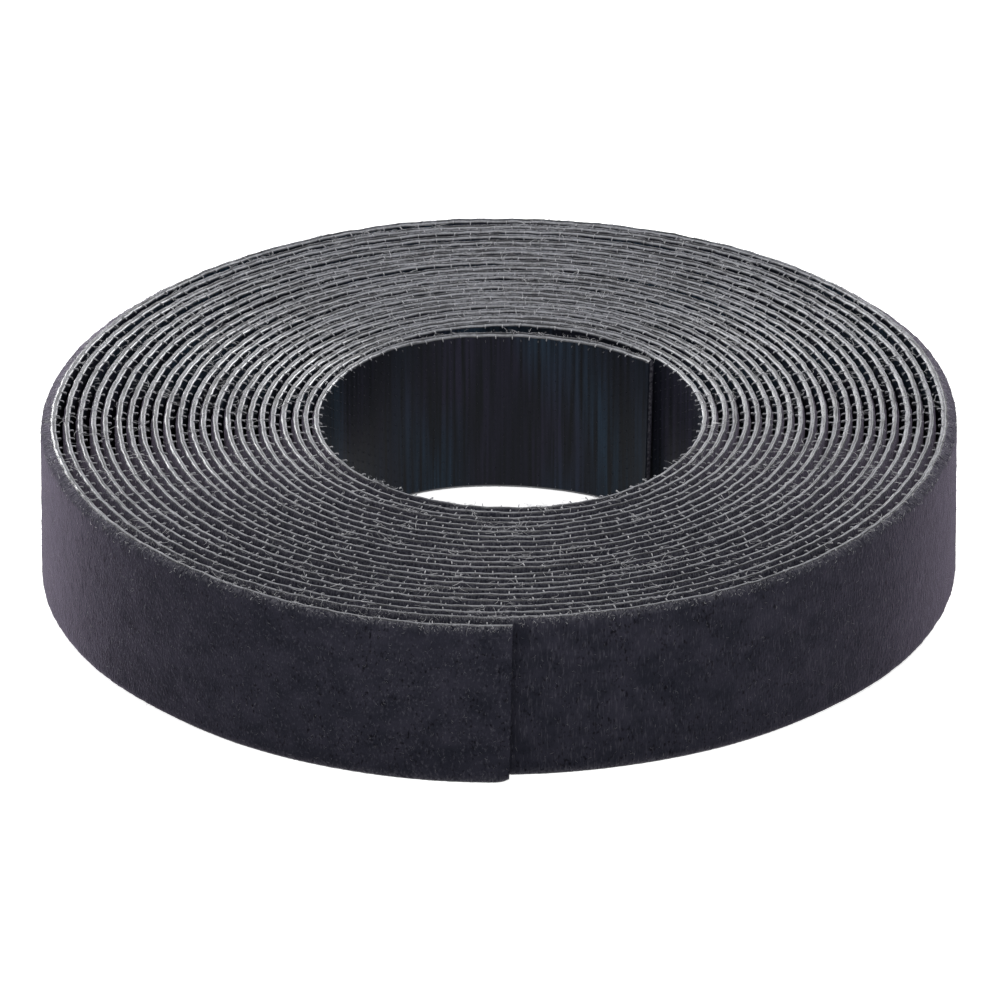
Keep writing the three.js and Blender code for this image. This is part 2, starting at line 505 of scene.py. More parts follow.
def loop_cloth_material():
    material, tree, shader = new_material("brushed_loop_cloth")
    clouds = tape_noise(tree, (3.2 * MM, 3 * MM, 2.6 * MM), detail=4, roughness=0.6)
    base = mixed(tree, ranged(tree, clouds, 0.35, 0.68), CLOTH_COLOUR, CLOTH_BLOOM)
    pits = tape_noise(tree, (0.28 * MM, 0.6 * MM, 0.45 * MM), detail=2)
    brushed = tape_noise(tree, (1.6 * MM, 2 * MM, 1.8 * MM), detail=2)
    worn = multiplied(tree, ranged(tree, pits, 0.44, 0.31), ranged(tree, brushed, 0.35, 0.6))
    pitted = mixed(tree, worn, base, CLOTH_PIT)
    places = attribute_of(tree, "tape", "Vector")
    along = add_node(tree, "ShaderNodeSeparateXYZ", {"Vector": places}).outputs["X"]
    by_end = ranged(tree, along, SHORT_STROKES_START, SHORT_STROKES_FULL)
    long_strokes = tape_noise(tree, (0.17 * MM, 0.5 * MM, 1.1 * MM), detail=3, roughness=0.6)
    short_strokes = tape_noise(tree, (0.22 * MM, 0.5 * MM, 0.4 * MM), detail=3, roughness=0.6)
    further_in = ranged(tree, by_end, 0.0, 1.0, 1.0, 0.0)
    streaks = added(tree, multiplied(tree, short_strokes, by_end), multiplied(tree, long_strokes, further_in))
    face = mixed(tree, ranged(tree, streaks, 0.54, 0.74, 0.0, 0.6), pitted, CLOTH_FLECK)
    # Painted sheen: the rim of the pile is painted paler along with its ragged ends.
    fray_and_painted_sheen = multiplied(tree, attribute_of(tree, "rim"), ranged(tree, short_strokes, 0.38, 0.66, 0.0, 0.7))
    tree.links.new(mixed(tree, fray_and_painted_sheen, face, CLOTH_FRAY_AND_PAINTED_SHEEN), shader.inputs["Base Color"])
    shader.inputs["Roughness"].default_value = 0.95
    shader.inputs["Specular IOR Level"].default_value = 0.04
    sheened(shader, 0.24, 0.4, CLOTH_SHEEN)
    bumped(tree, shader, added(tree, pits, streaks), 0.10 * MM, 1.0)
    return material


cloth_finish = loop_cloth_material()
print("material:", cloth_finish.name)

# %% [markdown]
# Loose fibres that were pulled out of the pile catch the light, so they are the palest thing on the roll.
# Each fibre has its own shade.

# %% Fibre finish
FIBRE_DARK = (0.06, 0.06, 0.07)
FIBRE_PALE = (0.58, 0.58, 0.60)


def fibre_material():
    material, tree, shader = new_material("loose_fibres")
    colour = mixed(tree, attribute_of(tree, "shade"), FIBRE_DARK, FIBRE_PALE)
    tree.links.new(colour, shader.inputs["Base Color"])
    shader.inputs["Roughness"].default_value = 0.55
    return material


fibre_finish = fibre_material()
print("material:", fibre_finish.name)

# %% [markdown]
# The knife went through the tape at a slant, so its cut edge faces the bore a little: it rises from the
# film's inner face to a crest in the cloth. That is why the pale edge is broad at the far side of the roll
# and only a thin line at the near side. The film is a thin strip with this slant at both edges, and the
# points beside it mark how far a painted sheen reaches down its inner face: a pale strip below the cut that
# stands for the grey sheen of light there. The edges wander a little in height, which breaks up the pale
# line. The points of an edge are given as a depth and a drop from the rim, in millimetres.

# %% Film section
FILM_EDGE = ((0.0, 0.27), (0.012, 0.225), (0.05, 0.195), (0.12, 0.16), (0.18, 0.13), (0.20, 0.15))
# Painted sheen: the film's inner face is painted pale this far below the cut.
PAINTED_SHEEN_FULL = 0.30 * MM
PAINTED_SHEEN_REACH = 0.42 * MM
PAINTED_SHEEN_LEAST = 0.84
FILM_STEP = 0.5 * MM
FRAY = 0.04 * MM
EDGE_LEAST = 0.001


def film_section():
    """The film's section: up its inner face, over its top edge, and back the same way at its bottom edge."""
    top = [(0, TAPE_WIDTH - PAINTED_SHEEN_REACH), (0, TAPE_WIDTH - PAINTED_SHEEN_FULL)]
    top += [(depth * MM, TAPE_WIDTH - drop * MM) for depth, drop in FILM_EDGE]
    top.append((top[-1][0], TAPE_WIDTH - PAINTED_SHEEN_REACH))
    bottom = [(depth, TAPE_WIDTH - height) for depth, height in reversed(top)]
    return top + bottom


def from_edge(flat):
    """How far a place is from the nearer cut edge of the tape."""
    return np.minimum(flat[:, 2], TAPE_WIDTH - flat[:, 2])


def outwards(flat):
    """Which way the nearer edge of the tape lies: 1 towards the top, -1 towards the bottom."""
    return np.sign(flat[:, 2] - TAPE_WIDTH / 2)


def film_piece(name, start, end, seed):
    mesh = strip_mesh(film_section(), start, end, FILM_STEP)
    flat = flat_places(mesh)
    # Painted sheen: the edge value stays high down the inner face, so that strip takes the pale cut colour.
    edge = np.interp(from_edge(flat), (0, PAINTED_SHEEN_FULL, PAINTED_SHEEN_REACH), (1, PAINTED_SHEEN_LEAST, 0))
    edge[edge < EDGE_LEAST] = 0
    chance = np.random.default_rng(seed)
    flat[:, 2] += outwards(flat) * edge * chance.uniform(-FRAY, 0, len(flat))
    return wound_piece(name, mesh, flat, (film_finish, cut_film_finish), "hook_film", edge=edge)


def stretches(start, end, count):
    """Divides a length of tape into equal stretches, so that no single mesh gets too heavy."""
    marks = np.linspace(start, end, count + 1)
    return list(zip(marks[:-1], marks[1:]))


# Degrees beside each fold that are left to the bend of the free end
INNER_BEND_REACH = 7.5
OUTER_BEND_REACH = 5
ROLL_START = length_at(INNER_FOLD_ANGLE + INNER_BEND_REACH)
ROLL_END = length_at(OUTER_FOLD_ANGLE - OUTER_BEND_REACH)
STRETCHES = 4
for number, (start, end) in enumerate(stretches(ROLL_START, ROLL_END, STRETCHES), 1):
    film = film_piece(f"hook_film_stretch_{number}", start, end, seed=30 + number)
    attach(film, "roll")
    print(film.name, len(film.data.polygons), "faces")
    if number == 1:
        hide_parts("hook_film_winding")

# %% [markdown]
# The cloth stands beside the film. Its cut edge goes on with the slant over the ground of the knit, up to the
# crest, and falls away over the ragged pile outside it. Turns inside the roll show only that edge, so their
# face needs few points. Their pile is pressed by the next turn and lies in the gap between turns, so its pale
# rim is painted weaker, as painted shade. The outer turn shows its whole face, and gets rows of points all
# the way down. CUT_FADE says how much of the edge is left at a depth.

# %% Cloth section
CLOTH_EDGE = (
    (0.17, 0.22), (0.19, 0.13), (0.25, 0.09), (0.32, 0.045), (0.38, 0.01),
    (0.42, 0.005), (0.45, 0.04), (0.54, 0.20), (0.70, 0.62),
)
CLOTH_FACE = 0.73 * MM
GROUND_DEPTH = 0.5 * MM
# Values above 1 at the crest feed the painted highlight of the cut yarn.
CUT_FADE = ((0.2 * MM, 0.72), (0.36 * MM, 0.82), (0.43 * MM, 1.2), (0.47 * MM, 1.1), (0.52 * MM, 0.0))
RIM_FULL = 0.2 * MM
RIM_FADE = 0.9 * MM
CREST_FULL = 0.3 * MM
CREST_REACH = 0.6 * MM
PILE_FRAY = 0.05 * MM
FRAY_FULL = 0.3 * MM
FRAY_REACH = 1.2 * MM
PILE_START = GROUND_DEPTH - 0.05 * MM
PILE_FULL = GROUND_DEPTH + 0.1 * MM
# Painted shade: the pale rim is weaker on turns inside the roll, where it lies in the gaps.
RIM_IN_GAP_SHADE = 0.6
HIDDEN_ROWS = 2
HIDDEN_STEP = 0.4 * MM


def cloth_section(face_rows):
    """The cloth's section: its top edge from the film out, down its face, and back along its bottom edge."""
    top = [(depth * MM, TAPE_WIDTH - drop * MM) for depth, drop in CLOTH_EDGE]
    bottom = [(depth * MM, drop * MM) for depth, drop in reversed(CLOTH_EDGE)]
    drop = CLOTH_EDGE[-1][1] * MM
    face = []
    for k in range(1, face_rows + 1):
        share = k / (face_rows + 1)
        face.append((CLOTH_FACE, TAPE_WIDTH - drop - share * (TAPE_WIDTH - 2 * drop)))
    return top + face + bottom


def cloth_edge(flat):
    """Most on the crest, less on the cut ground of the knit beside it, and 0 on the pile and the face."""
    near = 1 - smooth(from_edge(flat), CREST_FULL, CREST_REACH)
    return near * np.interp(flat[:, 1], *zip(*CUT_FADE))


def cloth_rim(flat):
    """1 by the edges of the tape, where the pile is ragged and painted paler, partly as painted sheen, and 0
    further in.
    """
    return 1 - smooth(from_edge(flat), RIM_FULL, RIM_FADE)


def fray_cloth(flat, edge, chance, pile_fray=PILE_FRAY):
    """Roughens the pile by its edges, and the cut ground a little."""
    near = 1 - smooth(from_edge(flat), FRAY_FULL, FRAY_REACH)
    pile = near * smooth(flat[:, 1], PILE_START, PILE_FULL)
    flat[:, 1] += pile * chance.normal(0, pile_fray, len(flat))
    flat[:, 2] += outwards(flat) * (pile * chance.normal(0, pile_fray, len(flat)))
    flat[:, 2] += outwards(flat) * edge * chance.uniform(-FRAY, 0, len(flat))


def hidden_cloth(name, start, end, seed):
    mesh = strip_mesh(cloth_section(HIDDEN_ROWS), start, end, HIDDEN_STEP)
    flat = flat_places(mesh)
    edge, rim = cloth_edge(flat), RIM_IN_GAP_SHADE * cloth_rim(flat)
    fray_cloth(flat, edge, np.random.default_rng(seed))
    return wound_piece(name, mesh, flat, (cloth_finish, cut_yarn_finish), "loop_cloth", edge=edge, rim=rim)


OUTER_TURN_START = length_at(OUTER_FOLD_ANGLE - FULL_TURN)
for number, (start, end) in enumerate(stretches(ROLL_START, OUTER_TURN_START, STRETCHES), 1):
    cloth = hidden_cloth(f"loop_cloth_stretch_{number}", start, end, seed=40 + number)
    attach(cloth, "roll")
    print(cloth.name, len(cloth.data.polygons), "faces")
    if number == 1:
        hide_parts("loop_cloth_winding")

# %% [markdown]
# The face of the outer turn is brushed pile. Its lumps and pits are real relief, so they also show at the
# outline. Value noise makes them: random heights on a coarse lattice, read between the lattice points with
# smooth weights. A lattice is given by its grain along the tape, its grain up the tape and its share of the
# relief. No turn presses on this pile, so it stands out further than the pile inside the roll, except where
# the outer end covers it.

# %% Brushed outer turn
FACE_STEP = 0.35 * MM
FACE_ROWS = 36
PILE_RELIEF = 0.05 * MM
FACE_FRAY = 0.02 * MM
PILE_RISE_ANGLE = 10
COVERED_END = length_at(OUTER_END_ANGLE - FULL_TURN)
OPEN_START = length_at(OUTER_END_ANGLE - FULL_TURN + PILE_RISE_ANGLE)
PILE_LATTICES = ((0.9 * MM, 0.7 * MM, 1.0), (0.5 * MM, 0.6 * MM, 0.8))


def lattice_noise(along, up, along_size, up_size, seed):
    """Smooth noise from 0 to 1 with grains of the given size."""
    along = along / along_size
    up = up / up_size
    column = np.floor(along).astype(int)
    row = np.floor(up).astype(int)
    along_share = smooth(along - column, 0, 1)
    up_share = smooth(up - row, 0, 1)
    column -= column.min()
    row -= row.min()
    heights = np.random.default_rng(seed).random((column.max() + 2, row.max() + 2))
    lower = heights[column, row] * (1 - along_share) + heights[column + 1, row] * along_share
    upper = heights[column, row + 1] * (1 - along_share) + heights[column + 1, row + 1] * along_share
    return lower * (1 - up_share) + upper * up_share


def loft(length):
    """How far the free pile of the last turn stands out."""
    angle = np.interp(length, table_lengths, table_angles)
    return settle(angle) * smooth(length, COVERED_END, OPEN_START)


def brushed_cloth(name, start, end, seed):
    mesh = strip_mesh(cloth_section(FACE_ROWS), start, end, FACE_STEP)
    flat = flat_places(mesh)
    edge, rim = cloth_edge(flat), cloth_rim(flat)
    face = smooth(flat[:, 1], GROUND_DEPTH, CLOTH_FACE)
    flat[:, 1] += face * loft(flat[:, 0])
    for number, (along_size, up_size, share) in enumerate(PILE_LATTICES):
        lumps = lattice_noise(flat[:, 0], flat[:, 2], along_size, up_size, seed + number)
        flat[:, 1] += face * PILE_RELIEF * share * (lumps - 0.5)
    fray_cloth(flat, edge, np.random.default_rng(seed), FACE_FRAY)
    return wound_piece(name, mesh, flat, (cloth_finish, cut_yarn_finish), "loop_cloth", edge=edge, rim=rim)


outer_turn = brushed_cloth("loop_cloth_outer_turn", OUTER_TURN_START, ROLL_END, seed=4)
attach(outer_turn, "roll")
print("outer turn:", len(outer_turn.data.polygons), "faces")

# %% [markdown]
# One hook is a stem with a crook, like a tiny walking stick. A ring of four points is extruded for the stem,
# which starts inside the film, and spun round for the crook, which turns down. From above it shows as a
# short tick beside the film.

# %% One hook
HOOK_THICKNESS = 0.10 * MM
HOOK_STEM = 0.30 * MM
HOOK_ROOT = 0.1 * MM
CROOK_RADIUS = 0.09 * MM
CROOK_TURN = math.radians(150)
CROOK_STEPS = 3
CROOK_TAPER = 0.75


def loose_verts(geometry):
    return [item for item in geometry if isinstance(item, bmesh.types.BMVert)]


def loose_edges(geometry):
    return [item for item in geometry if isinstance(item, bmesh.types.BMEdge)]


def hook_mesh():
    bm = bmesh.new()
    bmesh.ops.create_circle(bm, segments=4, radius=HOOK_THICKNESS / math.sqrt(2))
    bmesh.ops.rotate(bm, verts=bm.verts, matrix=Matrix.Rotation(math.radians(45), 3, "Z"))
    bmesh.ops.rotate(bm, verts=bm.verts, matrix=Matrix.Rotation(math.radians(90), 3, "X"))
    bmesh.ops.translate(bm, verts=bm.verts, vec=(0, HOOK_ROOT, 0))
    stem = bmesh.ops.extrude_edge_only(bm, edges=bm.edges)["geom"]
    bmesh.ops.translate(bm, verts=loose_verts(stem), vec=(0, -HOOK_ROOT - HOOK_STEM, 0))
    crook = bmesh.ops.spin(
        bm,
        geom=loose_edges(stem),
        cent=(0, -HOOK_STEM, -CROOK_RADIUS),
        axis=(1, 0, 0),
        angle=CROOK_TURN,
        steps=CROOK_STEPS,
        use_duplicate=False,
    )["geom_last"]
    tip = loose_verts(crook)
    middle = sum((vert.co for vert in tip), Vector()) / len(tip)
    bmesh.ops.scale(bm, verts=tip, vec=(CROOK_TAPER,) * 3, space=Matrix.Translation(-middle))
    bmesh.ops.contextual_create(bm, geom=tip)
    bmesh.ops.recalc_face_normals(bm, faces=bm.faces)
    return mesh_from(bm, "hook")


one_hook = hook_mesh()
print("one hook:", len(one_hook.vertices), "points,", len(one_hook.polygons), "faces")

# %% [markdown]
# Hooks stand in rows, with every second row shifted by half a space. An Array modifier repeats the one hook
# along the tape, and a second one repeats that row up the tape. Then each hook is leaned, stretched or turned
# round by chance, because a wound tape never has two hooks alike, and away from the top edge it is pressed
# small. Turns inside the roll need only the rows near their edges.

# %% Rows of hooks
HOOK_PITCH = 1.97 * MM
HOOK_ROWS = 32
TOP_ROW = TAPE_WIDTH - 0.20 * MM
BOTTOM_ROW = 0.7 * MM
HOOK_ROW = (TOP_ROW - BOTTOM_ROW) / (HOOK_ROWS - 1)
TURNED_SHARE = 0.5
HOOK_STRETCH = (0.8, 1.15)
HOOK_LEAN = 0.16
HOOK_SHIFT = 0.06 * MM
PRESSED_HOOK = 0.4
ROOT_PAINTED_LIGHT = 0.75
BY_EDGE_FULL = 0.4 * MM
BY_EDGE_REACH = 1.05 * MM


def repeated(mesh, count, offset):
    """Copies a mesh along an offset with an Array modifier."""
    pattern = add_object("pattern", mesh)
    array = pattern.modifiers.new("copies", "ARRAY")
    array.count = count
    array.use_relative_offset = False
    array.use_constant_offset = True
    array.constant_offset_displace = offset
    result = bpy.data.meshes.new_from_object(pattern.evaluated_get(bpy.context.evaluated_depsgraph_get()))
    bpy.data.objects.remove(pattern)
    return result


def hook_field(name, start, end, lowest, rows, seed):
    """Hooks from start to end along the tape, in rows upwards from the lowest."""
    first = math.ceil(start / HOOK_PITCH)
    columns = max(1, math.ceil(min(end, TAPE_LENGTH - HOOK_PITCH) / HOOK_PITCH) - first)
    line = repeated(one_hook, columns, (HOOK_PITCH, 0, 0))
    mesh = repeated(line, rows, (0, 0, HOOK_ROW))
    bpy.data.meshes.remove(line)
    flat = flat_places(mesh)
    number = np.arange(len(flat)) // len(one_hook.vertices)
    row, column = number // columns, number % columns
    place = np.column_stack([column * HOOK_PITCH, np.zeros(len(flat)), row * HOOK_ROW])
    local = flat - place
    chance = np.random.default_rng(seed)
    hooks = rows * columns
    facing = np.where(chance.random(hooks) < TURNED_SHARE, -1.0, 1.0)[number]
    length = chance.uniform(*HOOK_STRETCH, hooks)[number]
    lean = chance.normal(0, HOOK_LEAN, (hooks, 2))[number]
    shift = chance.normal(0, HOOK_SHIFT, (hooks, 2))[number]
    out = np.clip(-local[:, 1] / (HOOK_STEM + CROOK_RADIUS), 0, 1)
    # Painted highlight: hooks by the cut edges, most of all their tips, are painted pale.
    scuff = ROOT_PAINTED_LIGHT + (1 - ROOT_PAINTED_LIGHT) * out
    local[:, 0] = local[:, 0] * facing - local[:, 1] * lean[:, 0] + shift[:, 0]
    local[:, 2] += -local[:, 1] * lean[:, 1] + shift[:, 1]
    local[:, 1] *= length
    place[:, 0] += first * HOOK_PITCH + (row % 2) * HOOK_PITCH / 2
    place[:, 2] += lowest
    local *= 1 - (1 - PRESSED_HOOK) * smooth(TAPE_WIDTH - place[:, 2], BY_EDGE_FULL, BY_EDGE_REACH)[:, None]
    scuff *= 1 - smooth(from_edge(place), BY_EDGE_FULL, BY_EDGE_REACH)
    return wound_piece(name, mesh, local + place, (hook_finish,), "hook_film", scuff=scuff)


# Each edge's name, lowest row, number of rows and seed
EDGE_ROWS = (("top", TOP_ROW - HOOK_ROW, 2, 11), ("bottom", BOTTOM_ROW, 1, 12))
for name, lowest, rows, seed in EDGE_ROWS:
    row_piece = hook_field(f"hooks_by_{name}_edge", ROLL_START, ROLL_END, lowest, rows, seed)
    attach(row_piece, "roll")
    print(row_piece.name, len(row_piece.data.polygons), "faces")

# %% [markdown]
# The bore shows the whole width of the film, so the first turn carries hooks all the way up. The rows by
# the edges are there already.

# %% Hooks in the bore
BORE_FIELD_ANGLE = 455
BORE_FIELD_END = length_at(INNER_END_ANGLE + BORE_FIELD_ANGLE)
BORE_LOWEST = BOTTOM_ROW + HOOK_ROW
BORE_ROWS = HOOK_ROWS - 3
bore_hooks = hook_field("hooks_in_bore", ROLL_START, BORE_FIELD_END, BORE_LOWEST, BORE_ROWS, seed=13)
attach(bore_hooks, "roll")
print("hooks in the bore:", len(bore_hooks.data.polygons), "faces")

# %% [markdown]
# A fibre is a three-sided thread. It is made straight, repeated with an Array modifier, and then each copy
# is bent into its own arc and set at its own root. Fibres cross the gaps on top of the roll like cobweb and
# lie on the brushed face.

# %% One fibre
FIBRE_SEGMENTS = 4


def fibre_mesh():
    """A straight thread of length 1 along X, with a radius of 1."""
    bm = bmesh.new()
    bmesh.ops.create_circle(bm, segments=3, radius=1)
    bmesh.ops.rotate(bm, verts=bm.verts, matrix=Matrix.Rotation(math.radians(90), 3, "Y"))
    ring = list(bm.edges)
    for _ in range(FIBRE_SEGMENTS):
        grown = bmesh.ops.extrude_edge_only(bm, edges=ring)["geom"]
        bmesh.ops.translate(bm, verts=loose_verts(grown), vec=(1 / FIBRE_SEGMENTS, 0, 0))
        ring = loose_edges(grown)
        ring = [edge for edge in ring if abs(edge.verts[0].co.x - edge.verts[1].co.x) < WELD]
    bmesh.ops.holes_fill(bm, edges=bm.edges, sides=0)
    bmesh.ops.recalc_face_normals(bm, faces=bm.faces)
    return mesh_from(bm, "fibre")


one_fibre = fibre_mesh()
print("one fibre:", len(one_fibre.vertices), "points,", len(one_fibre.polygons), "faces")

# %% [markdown]
# The arc of a fibre is a straight run plus a sideways bow, which is full at its middle. The run, the bow and
# the two directions across it are arrays with one row for each fibre, so thousands are bent in one go. The
# first direction across is taken from one that hardly any fibre runs along.

# %% Bend and place fibres
FIBRE_RADIUS = 0.027 * MM
FIBRE_SPACING = 2
FIBRE_TAPER = 0.6
ASKEW = (0.3, 0.5, 0.8)
FIBRES_IN_TUFT = 4
TUFT_SPREAD = 0.8 * MM
TUFT_DEPTHS = (0.1 * MM, 0.75 * MM)
TUFT_HEIGHTS = (-0.10 * MM, 0.06 * MM)
TUFT_LENGTHS = (0.3 * MM, 1.5 * MM)
TUFT_HEADING = (1.0, 0.9, 0.16)
TUFT_BOW = 0.15
TUFT_BOW_HEADING = (1.0, 1.0, 0.4)
TUFT_SHADES = (1.2, 1.6)


def unit(vectors):
    return vectors / np.linalg.norm(vectors, axis=1, keepdims=True)


def fibre_piece(name, roots, runs, bows, shades, radius=FIBRE_RADIUS):
    """Fibres that start at roots, run along runs and bow out by bows, all as arrays of flat places."""
    mesh = repeated(one_fibre, len(roots), (FIBRE_SPACING, 0, 0))
    flat = flat_places(mesh)
    number = np.arange(len(flat)) // len(one_fibre.vertices)
    share = flat[:, 0] - FIBRE_SPACING * number
    across = unit(np.cross(runs, np.array([ASKEW])))
    upward = unit(np.cross(runs, across))
    taper = np.broadcast_to(radius, len(roots))[number] * (1 - FIBRE_TAPER * share)
    places = roots[number] + runs[number] * share[:, None]
    places += bows[number] * (4 * share * (1 - share))[:, None]
    places += across[number] * (flat[:, 1] * taper)[:, None]
    places += upward[number] * (flat[:, 2] * taper)[:, None]
    return wound_piece(name, mesh, places, (fibre_finish,), "loop_cloth", shade=shades[number])


def top_fuzz(name, start, end, count, seed):
    """Fibres that cross between the turns on top of the roll, in tufts."""
    chance = np.random.default_rng(seed)
    tufts = chance.uniform(start, end, max(1, count // FIBRES_IN_TUFT))
    along = tufts[chance.integers(0, len(tufts), count)] + chance.normal(0, TUFT_SPREAD, count)
    roots = np.column_stack([
        np.clip(along, start, end),
        chance.uniform(*TUFT_DEPTHS, count),
        TAPE_WIDTH + chance.uniform(*TUFT_HEIGHTS, count),
    ])
    length = chance.uniform(*TUFT_LENGTHS, count)
    heading = chance.normal(0, 1, (count, 3)) * TUFT_HEADING
    runs = unit(heading) * length[:, None]
    bows = chance.normal(0, TUFT_BOW, (count, 3)) * length[:, None] * TUFT_BOW_HEADING
    return fibre_piece(name, roots, runs, bows, chance.beta(*TUFT_SHADES, count))


TOP_FIBRES = 4400
top_fibres = top_fuzz("fibres_on_top", ROLL_START, ROLL_END, TOP_FIBRES, seed=21)
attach(top_fibres, "roll")
print(top_fibres.name, len(top_fibres.data.polygons), "faces")

# %% [markdown]
# On the brushed face the fibres are short, lie flat against the pile, and most of them are upright. By the
# rim the knife has cut loops open, so a band of paler and thicker ends stands there; part of their paleness
# is a painted sheen of the fuzz at the rim.

# %% Fibres on the brushed face
FACE_FIBRES_PER_MM2 = 1.1
FACE_FIBRE_RADIUS = 0.022 * MM
FACE_MARGIN = 0.5 * MM
FACE_LENGTHS = (0.12 * MM, 0.45 * MM)
FACE_HEADING = (0.6, 0.0, 1.0)
FACE_LIFT = (0.05, 0.25)
FACE_BOW = 0.18
FACE_BOW_OUT = 0.5
FACE_SHADE = 0.3
FACE_SHADES = (0.8, 3.0)
RIM_SHARE = 0.45
RIM_REACH = 0.4 * MM
RIM_LEAST = 0.06 * MM
RIM_FIBRE_RADIUS = 0.035 * MM
RIM_SHADE = 0.8
RIM_SHADES = (1.0, 1.6)
FACE_LEVEL = 0.9 * MM
FIBRE_ROOT = 0.02 * MM


def face_depth(length, up):
    """How deep the brushed face lies: by the top edge it falls away to the crest of the cut."""
    slope = CLOTH_EDGE[-3:]
    drops = [drop * MM for _, drop in slope] + [FACE_LEVEL]
    depths = [depth * MM for depth, _ in slope] + [CLOTH_FACE]
    depth = np.interp(TAPE_WIDTH - up, drops, depths)
    return depth + smooth(depth, GROUND_DEPTH, CLOTH_FACE) * loft(length)


def face_fuzz(name, start, end, seed):
    chance = np.random.default_rng(seed)
    count = int(FACE_FIBRES_PER_MM2 * (end - start) * TAPE_WIDTH / MM**2)
    by_rim = chance.random(count) < RIM_SHARE
    from_rim = np.abs(chance.normal(0, RIM_REACH, count)) + RIM_LEAST
    on_face = chance.uniform(FACE_MARGIN, TAPE_WIDTH - FACE_MARGIN, count)
    up = np.where(by_rim, TAPE_WIDTH - from_rim, on_face)
    along = chance.uniform(start, end, count)
    roots = np.column_stack([along, face_depth(along, up) - FIBRE_ROOT, up])
    length = chance.uniform(*FACE_LENGTHS, count)
    heading = chance.normal(0, 1, (count, 3)) * FACE_HEADING
    heading[:, 1] = chance.uniform(*FACE_LIFT, count)
    runs = unit(heading) * length[:, None]
    bows = chance.normal(0, FACE_BOW, (count, 3)) * length[:, None]
    bows[:, 1] = np.abs(bows[:, 1]) * FACE_BOW_OUT
    # Partly painted sheen: fibres by the rim are painted paler than those on the face.
    rim_shades = RIM_SHADE * chance.beta(*RIM_SHADES, count)
    face_shades = FACE_SHADE * chance.beta(*FACE_SHADES, count)
    shades = np.where(by_rim, rim_shades, face_shades)
    radius = np.where(by_rim, RIM_FIBRE_RADIUS, FACE_FIBRE_RADIUS)
    return fibre_piece(name, roots, runs, bows, shades, radius)


face_fibres = face_fuzz("fibres_on_face", OUTER_TURN_START, ROLL_END, seed=23)
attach(face_fibres, "roll")
print(face_fibres.name, len(face_fibres.data.polygons), "faces")

# %% [markdown]
# The two free ends of the tape can be peeled off the roll. The physics bends each of them at six folds. The
# cloth doesn't fold there, it curves, so each piece of an end reaches from the middle of one link to the
# middle of the next. The last half link is the tip, and only the tip rides on its link.

# %% Free ends
LINKS = 6
INNER_LINK_ANGLE = 15.5
OUTER_LINK_ANGLE = 10
EDGE_FIBRES_PER_MM = 1.4
SEED_STEP = 10


def rest_point(length):
    return tuple(wind(np.array([[length, TAPE_THICKNESS / 2, TAPE_WIDTH / 2]]))[0])


def end_pieces(label, start, end, seed):
    """The pieces of tape between two lengths: film, hooks, cloth and fibres."""
    low, high = min(start, end), max(start, end)
    edge_fibres = int((high - low) / MM * EDGE_FIBRES_PER_MM)
    made = [film_piece(f"{label}_film", low, high, seed)]
    made.append(brushed_cloth(f"{label}_cloth", low, high, seed + 1))
    made.append(hook_field(f"{label}_hooks", low, high, BOTTOM_ROW, HOOK_ROWS, seed + 2))
    made.append(top_fuzz(f"{label}_edge_fibres", low, high, edge_fibres, seed + 3))
    made.append(face_fuzz(f"{label}_face_fibres", low, high, seed + 4))
    return made


def free_end(name, fold_angle, link_angle, seed):
    for link in range(1, LINKS + 1):
        fold = fold_angle + (link - 1) * link_angle
        start = length_at(fold - link_angle / 2)
        end = length_at(fold + link_angle / 2)
        pieces = end_pieces(f"{name}_bend_{link}", start, end, seed + SEED_STEP * link)
        for piece in pieces:
            rest_point(start)
            rest_point(end)
            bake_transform(piece)
        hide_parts(f"{name}_film_{link}")
        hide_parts(f"{name}_cloth_{link}")
    tip_start = length_at(fold_angle + (LINKS - 0.5) * link_angle)
    tip_end = length_at(fold_angle + LINKS * link_angle)
    for piece in end_pieces(f"{name}_tip", tip_start, tip_end, seed):
        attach(piece, f"{name}_{LINKS}")


free_end("inner_end", INNER_FOLD_ANGLE, -INNER_LINK_ANGLE, seed=100)
free_end("outer_end", OUTER_FOLD_ANGLE, OUTER_LINK_ANGLE, seed=300)
for mesh in (one_hook, one_fibre):
    bpy.data.meshes.remove(mesh)
print("free ends: 2, each in", LINKS + 1, "stretches")

# %% [markdown]
# The roll lies on a plain white floor. The floor is lit like any surface, so it keeps the roll's shadow, and
# for the camera it also glows, which lifts it to white without more light on the object.

# %% Floor
FLOOR_SIZE = 3.0
FLOOR_WHITE = (0.86, 0.86, 0.86)
FLOOR_GLOW = 0.8


def seen_directly(tree):
    """1 for rays that come straight from the camera, or by way of a glossy surface or glass."""
    rays = add_node(tree, "ShaderNodeLightPath")
    direct = rays.outputs["Is Camera Ray"]
    for kind in ("Is Glossy Ray", "Is Transmission Ray"):
        direct = combined(tree, "MAXIMUM", direct, rays.outputs[kind])
    return direct


def floor_material():
    material, tree, shader = new_material("white_floor")
    shader.inputs["Base Color"].default_value = (*FLOOR_WHITE, 1.0)
    shader.inputs["Roughness"].default_value = 0.9
    shader.inputs["Specular IOR Level"].default_value = 0.0
    shader.inputs["Emission Color"].default_value = (1.0, 1.0, 1.0, 1.0)
    tree.links.new(multiplied(tree, seen_directly(tree), FLOOR_GLOW), shader.inputs["Emission Strength"])
    return material


def floor():
    bm = bmesh.new()
    bmesh.ops.create_grid(bm, x_segments=1, y_segments=1, size=FLOOR_SIZE / 2)
    mesh = mesh_from(bm, "floor")
    mesh.materials.append(floor_material())
    plane = add_object("floor", mesh)
    return plane


print("stage:", floor().name)

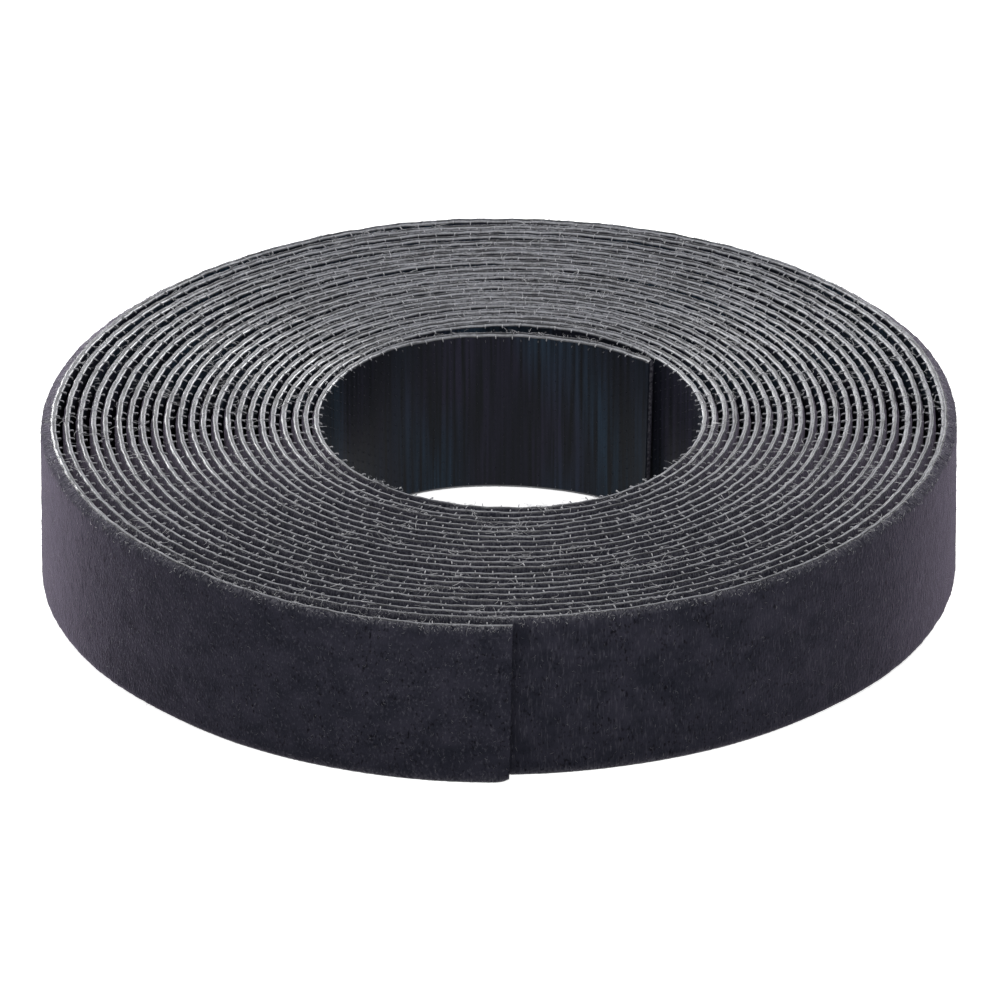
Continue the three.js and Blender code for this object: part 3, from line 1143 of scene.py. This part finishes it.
# %% [markdown]
# Small studio pictures of dark goods are lit from behind: a large dim soft box above and behind lays a grey
# sheen on the far side of the top, two small bright ones beside it shine on the slanted edges at the back
# corners, and two low ones at the sides pick out the brushed face where it turns away, the right one only
# faintly. A broad box in front keeps the near face from going black. A box is given by its name, place, size
# and brightness.

# %% Light
SOFT_BOXES = (
    ("box_above", (0.0, 0.30, 0.60), (0.6, 0.4), 0.55),
    ("upper_left", (-0.35, 0.42, 0.43), (0.22, 0.22), 14.0),
    ("upper_right", (0.34, 0.455, 0.395), (0.20, 0.20), 25.0),
    ("low_left", (-0.43, 0.52, 0.07), (0.40, 0.14), 28.0),
    ("low_right", (0.30, 0.62, 0.14), (0.30, 0.14), 1.5),
    ("box_front", (0.0, -0.8, 0.6), (0.8, 0.5), 4.0),
)
WORLD_LIGHT = 0.26


def soft_box(name, place, size, brightness):
    """A lamp that faces the roll. Its surface has the given brightness, whatever its size."""
    light = bpy.data.lights.new(name, "AREA")
    light.shape = "RECTANGLE"
    light.size, light.size_y = size
    light.energy = brightness * math.pi * size[0] * size[1]
    lamp = add_object(name, light)
    lamp.location = place
    lamp.rotation_euler = (-Vector(place)).to_track_quat("-Z", "Y").to_euler()
    return lamp


def white_world():
    world = bpy.data.worlds.new("white_studio")
    world.use_nodes = True
    tree = world.node_tree
    background = tree.nodes["Background"]
    background.inputs["Color"].default_value = (1.0, 1.0, 1.0, 1.0)
    strength = ranged(tree, seen_directly(tree), 0.0, 1.0, WORLD_LIGHT, 1.0)
    tree.links.new(strength, background.inputs["Strength"])
    bpy.context.scene.world = world
    return world


for settings in SOFT_BOXES:
    soft_box(*settings)
print("light:", len(SOFT_BOXES), "soft boxes and", white_world().name)

# %% [markdown]
# The camera looks along +Y from a long way off, about 26 degrees above the floor, with a long lens. That
# keeps the near and far rims almost the same size, as in a catalogue picture.

# %% Camera
CAMERA_ELEVATION = math.radians(26.4)
CAMERA_DISTANCE = 2.4
CAMERA_AIM = Vector((0.07 * MM, 0.0, 8.99 * MM))
CAMERA_FIELD = 108.85 * MM
SENSOR_WIDTH = 36

camera_data = bpy.data.cameras.new("camera")
camera_data.sensor_width = SENSOR_WIDTH
camera_data.lens = SENSOR_WIDTH * CAMERA_DISTANCE / CAMERA_FIELD
camera = add_object("camera", camera_data)
away = Vector((0, -math.cos(CAMERA_ELEVATION), math.sin(CAMERA_ELEVATION)))
camera.location = CAMERA_AIM + away * CAMERA_DISTANCE
camera.rotation_euler = (-away).to_track_quat("-Z", "Y").to_euler()
bpy.context.scene.camera = camera
bpy.context.scene.view_settings.view_transform = "Standard"
print(f"camera: {camera_data.lens:.0f} mm lens at {CAMERA_DISTANCE} m")
